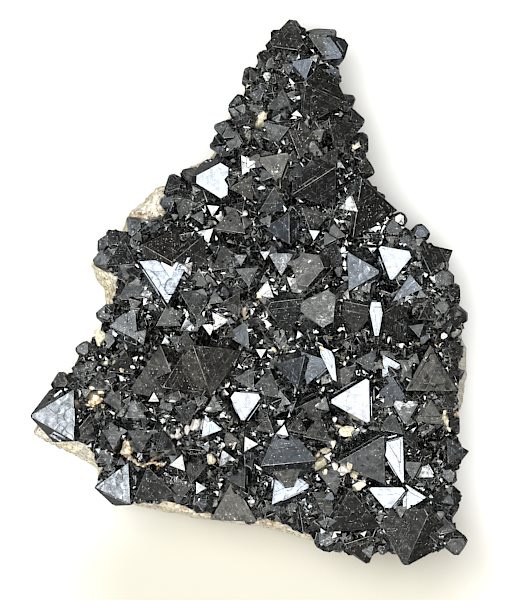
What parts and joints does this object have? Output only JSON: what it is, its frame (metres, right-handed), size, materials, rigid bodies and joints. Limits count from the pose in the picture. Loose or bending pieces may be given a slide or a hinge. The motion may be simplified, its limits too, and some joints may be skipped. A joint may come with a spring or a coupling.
{
  "type": "magnetite specimen",
  "caption": "Cabinet-size mineral specimen: a plate of pale granular host rock covered on one face by a crust of intergrown black octahedral magnetite crystals with small pale feldspar grains.",
  "frame": {"origin": "middle of the flat broken back of the host rock, on the surface that the specimen lies on", "axes": "+Z out of the back towards the crystals, up as the specimen lies; +Y towards its narrow end; +X to the right seen from above"},
  "size_m": [0.0709, 0.0876, 0.021],
  "materials": {
    "pale_rock": "granular, matt",
    "magnetite": "black with a metallic shine, flat crystal faces",
    "cream_feldspar": "satin",
    "pearly_feldspar": "pearly",
    "rusty_feldspar": "iron-stained, satin"
  },
  "bodies": {
    "root": {"host_rock": "pale_rock", "magnetite_crust": "magnetite", "feldspar_grain_1": "cream_feldspar", "feldspar_grain_2": "cream_feldspar", "feldspar_grain_3": "cream_feldspar", "feldspar_grain_4": "cream_feldspar", "feldspar_grain_5": "rusty_feldspar", "feldspar_grain_6": "rusty_feldspar", "feldspar_grain_7": "pearly_feldspar", "feldspar_grain_8": "pearly_feldspar", "feldspar_grain_9": "cream_feldspar", "feldspar_grain_10": "cream_feldspar", "feldspar_grain_11": "cream_feldspar", "feldspar_grain_12": "pearly_feldspar", "feldspar_grain_13": "cream_feldspar", "feldspar_grain_14": "cream_feldspar", "feldspar_grain_15": "cream_feldspar", "feldspar_grain_16": "cream_feldspar"}
  },
  "joints": []
}
